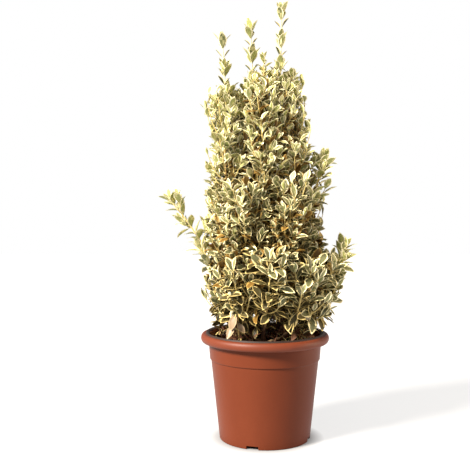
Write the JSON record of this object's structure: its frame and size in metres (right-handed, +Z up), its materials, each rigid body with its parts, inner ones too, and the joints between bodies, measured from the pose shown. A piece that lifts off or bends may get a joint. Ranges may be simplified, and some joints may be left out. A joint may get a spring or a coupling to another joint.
{
  "type": "potted variegated spindle shrub",
  "caption": "Evergreen shrub with cream-edged leaves, an upright leafy column of several stems, growing in a round tapered plastic pot with a rolled rim.",
  "frame": {"origin": "the middle of the pot's flat underside, on the pot's axis", "axes": "+Z up along the pot's axis; -Y is the side that faces the viewer, with +X to the viewer's right"},
  "size_m": [0.514, 0.427, 1.1014],
  "materials": {
    "pot_plastic": "moulded terracotta-coloured plastic, faintly glossy",
    "soil": "dark moist potting compost",
    "bark": "smooth young bark, tan to grey-brown",
    "foliage": "glossy leaves, dark green middles with cream-yellow edges"
  },
  "bodies": {
    "root": {"pot": "pot_plastic", "soil": "soil", "trunk": "bark", "stem_left": "bark", "stem_right": "bark", "stem_front": "bark", "stem_back_right": "bark", "stem_back_left": "bark", "bough_crown_left": "bark", "bough_crown_right": "bark", "bough_top_right": "bark", "bough_top_front": "bark", "bough_mid_left": "bark", "bough_mid_front_left": "bark", "bough_mid_front_right": "bark", "bough_mid_right": "bark", "bough_mid_back_right": "bark", "bough_mid_back": "bark", "bough_mid_back_left": "bark", "bough_low_left": "bark", "bough_low_front_left": "bark", "bough_low_front": "bark", "bough_low_front_right": "bark", "bough_low_right": "bark", "bough_low_back_right": "bark", "bough_low_back": "bark", "bough_low_back_left": "bark", "bough_sprig_left": "bark", "bough_sprig_right": "bark", "bough_sprig_high": "bark", "leader_middle": "foliage", "leader_left": "foliage", "leader_right": "foliage", "crown_front": "foliage", "crown_back_right": "foliage", "crown_back_left": "foliage", "crown_left": "foliage", "crown_right": "foliage", "top_right": "foliage", "top_front": "foliage", "mid_left": "foliage", "mid_front_left": "foliage", "mid_front_right": "foliage", "mid_right": "foliage", "mid_back_right": "foliage", "mid_back": "foliage", "mid_back_left": "foliage", "low_left": "foliage", "low_front_left": "foliage", "low_front": "foliage", "low_front_right": "foliage", "low_right": "foliage", "low_back_right": "foliage", "low_back": "foliage", "low_back_left": "foliage", "sprig_left": "foliage", "sprig_right": "foliage", "sprig_high": "foliage"}
  },
  "joints": []
}
